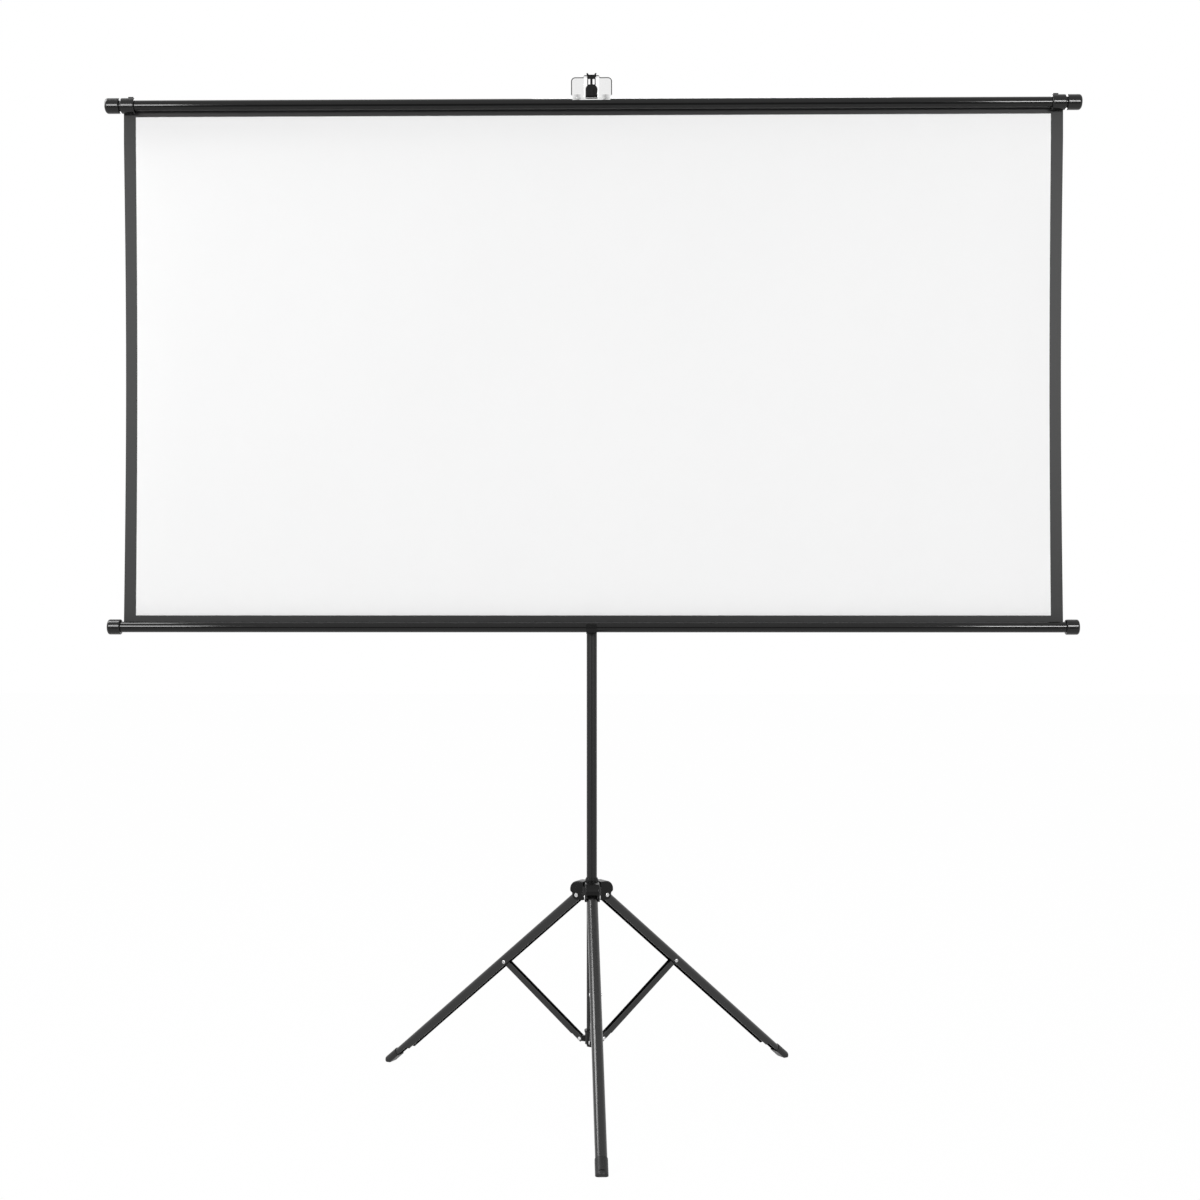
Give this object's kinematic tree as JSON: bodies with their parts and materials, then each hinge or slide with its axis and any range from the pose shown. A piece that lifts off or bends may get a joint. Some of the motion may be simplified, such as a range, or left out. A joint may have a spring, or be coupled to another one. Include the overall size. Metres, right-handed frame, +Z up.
{
  "type": "tripod projection screen",
  "caption": "Free-standing projection screen: a bordered sheet hung between two bars on a telescopic pole, with folding channel legs, struts and a sliding hub.",
  "frame": {"origin": "on the floor under the middle of the whole object's box", "axes": "+Z up, the screen faces -Y, +X to the right of a viewer who looks along +Y"},
  "size_m": [2.359, 0.943, 2.4713],
  "materials": {
    "sheet_cloth": "matt white with a black border",
    "bar_enamel": "satin black",
    "cap_plastic": "glossy black",
    "pole_enamel": "satin black",
    "leg_enamel": "satin black",
    "moulding": "satin black",
    "hanger_chrome": "polished",
    "bright_steel": "bright",
    "shoe_rubber": "matt black"
  },
  "bodies": {
    "pole": {"lower_pole": "pole_enamel", "pole_foot_plug": "moulding", "pole_guide": "moulding", "pole_clamp": "moulding", "spreader_collar": "moulding", "collar_screw": "bright_steel", "bar_cradle": "moulding", "cradle_screw": "bright_steel", "screen_sheet": "sheet_cloth"},
    "mast": {"upper_pole": "pole_enamel", "pole_slider": "moulding", "head_hook": "moulding", "head_hook_pin": "bright_steel", "hanger_plate": "hanger_chrome", "hanger_rivets": "bright_steel", "top_bar": "bar_enamel", "top_cap_left": "cap_plastic", "top_cap_right": "cap_plastic", "sheet_clip_left": "cap_plastic", "sheet_clip_right": "cap_plastic"},
    "winding_bar": {"bottom_bar": "bar_enamel", "bottom_cap_left": "cap_plastic", "bottom_cap_right": "cap_plastic"},
    "hub": {"hub": "moulding", "hub_ring": "moulding", "hub_rivets": "bright_steel"},
    "clamp_knob": {"clamp_knob": "moulding", "clamp_screw": "bright_steel"},
    "hub_knob": {"hub_knob": "moulding", "hub_screw": "bright_steel"},
    "leg_front": {"leg_front": "leg_enamel", "shoe_front": "shoe_rubber", "strut_rivet_front": "bright_steel", "strut_spacers_front": "bright_steel"},
    "strut_front": {"strut_front": "leg_enamel", "collar_rivet_front": "bright_steel"},
    "leg_right": {"leg_right": "leg_enamel", "shoe_right": "shoe_rubber", "strut_rivet_right": "bright_steel", "strut_spacers_right": "bright_steel"},
    "strut_right": {"strut_right": "leg_enamel", "collar_rivet_right": "bright_steel"},
    "leg_left": {"leg_left": "leg_enamel", "shoe_left": "shoe_rubber", "strut_rivet_left": "bright_steel", "strut_spacers_left": "bright_steel"},
    "strut_left": {"strut_left": "leg_enamel", "collar_rivet_left": "bright_steel"}
  },
  "joints": [
    {"name": "hub_slide", "type": "slide", "parent": "pole", "child": "hub", "axis": [0, 0, 1], "range_m": [0, 0.19726]},
    {"name": "leg_front_fold", "type": "hinge", "parent": "hub", "child": "leg_front", "pos_m": [0.00179, 0.10022, 0.4799], "axis": [0.9985, 0.0541, 0], "range_deg": [0, 49.5]},
    {"name": "strut_front_fold", "type": "hinge", "parent": "leg_front", "child": "strut_front", "pos_m": [0.01311, -0.10876, 0.29458], "axis": [-0.9985, -0.0541, 0], "range_deg": [0, 101.86]},
    {"name": "leg_right_fold", "type": "hinge", "parent": "hub", "child": "leg_right", "pos_m": [0.02781, 0.1515, 0.4799], "axis": [-0.5461, 0.8377, 0], "range_deg": [0, 49.5]},
    {"name": "strut_right_fold", "type": "hinge", "parent": "leg_right", "child": "strut_right", "pos_m": [0.20314, 0.26579, 0.29458], "axis": [0.5461, -0.8377, 0], "range_deg": [0, 101.86]},
    {"name": "leg_left_fold", "type": "hinge", "parent": "hub", "child": "leg_left", "pos_m": [-0.02961, 0.14839, 0.4799], "axis": [-0.4524, -0.8918, 0], "range_deg": [0, 49.5]},
    {"name": "strut_left_fold", "type": "hinge", "parent": "leg_left", "child": "strut_left", "pos_m": [-0.21625, 0.24308, 0.29458], "axis": [0.4524, 0.8918, 0], "range_deg": [0, 101.86]},
    {"name": "mast_slide", "type": "slide", "parent": "pole", "child": "mast", "axis": [0, 0, 1], "range_m": [-1, 0], "deforming": ["screen_sheet"]},
    {"name": "sheet_wind", "type": "hinge", "parent": "pole", "child": "winding_bar", "pos_m": [0, 0.09937, 1.134], "axis": [1, 0, 0], "range_deg": [-3822.6, 0]},
    {"name": "clamp_knob_turn", "type": "hinge", "parent": "pole", "child": "clamp_knob", "pos_m": [0, 0.16137, 1.3585], "axis": [0, 1, 0], "range_deg": [0, 720]},
    {"name": "hub_knob_turn", "type": "hinge", "parent": "hub", "child": "hub_knob", "pos_m": [-0.00195, 0.16931, 0.4939], "axis": [-0.0541, 0.9985, 0], "range_deg": [0, 720]}
  ],
  "couplings": [
    {"joint": "leg_front_fold", "follows": "hub_slide", "rad_per_m": 4.3797},
    {"joint": "strut_front_fold", "follows": "hub_slide", "rad_per_m": 9.0123},
    {"joint": "leg_right_fold", "follows": "hub_slide", "rad_per_m": 4.3797},
    {"joint": "strut_right_fold", "follows": "hub_slide", "rad_per_m": 9.0123},
    {"joint": "leg_left_fold", "follows": "hub_slide", "rad_per_m": 4.3797},
    {"joint": "strut_left_fold", "follows": "hub_slide", "rad_per_m": 9.0123},
    {"joint": "sheet_wind", "follows": "mast_slide", "rad_per_m": 66.7}
  ]
}
